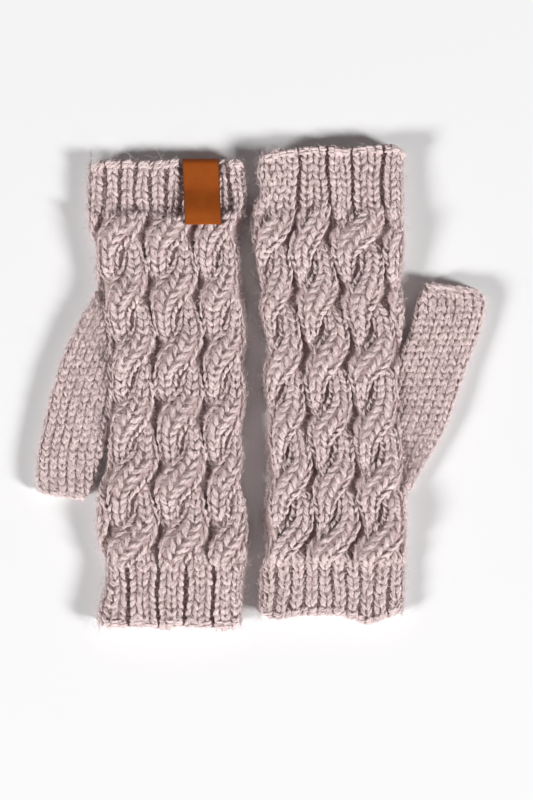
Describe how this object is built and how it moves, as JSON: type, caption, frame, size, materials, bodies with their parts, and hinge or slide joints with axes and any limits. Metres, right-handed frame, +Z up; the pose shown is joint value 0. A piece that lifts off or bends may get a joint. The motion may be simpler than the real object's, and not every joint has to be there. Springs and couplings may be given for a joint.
{
  "type": "pair of fingerless mitts",
  "caption": "Pair of cable-knit fingerless mitts with plain thumbs, laid flat side by side, one with a bare leather label folded over its wrist edge.",
  "frame": {"origin": "centre of the pair's box, on the surface that it lies on", "axes": "+Z up from the surface, +Y away from the viewer along the mitts, +X to the viewer's right across them"},
  "size_m": [0.2024, 0.219, 0.0122],
  "materials": {
    "wool_yarn": "soft heathered wool with a fine halo",
    "tan_leather": "smooth, slightly waxed, darker cut edges"
  },
  "bodies": {
    "root": {"left_mitt_body": "wool_yarn", "left_mitt_thumb": "wool_yarn", "right_mitt_body": "wool_yarn", "right_mitt_thumb": "wool_yarn", "leather_label": "tan_leather"}
  },
  "joints": []
}
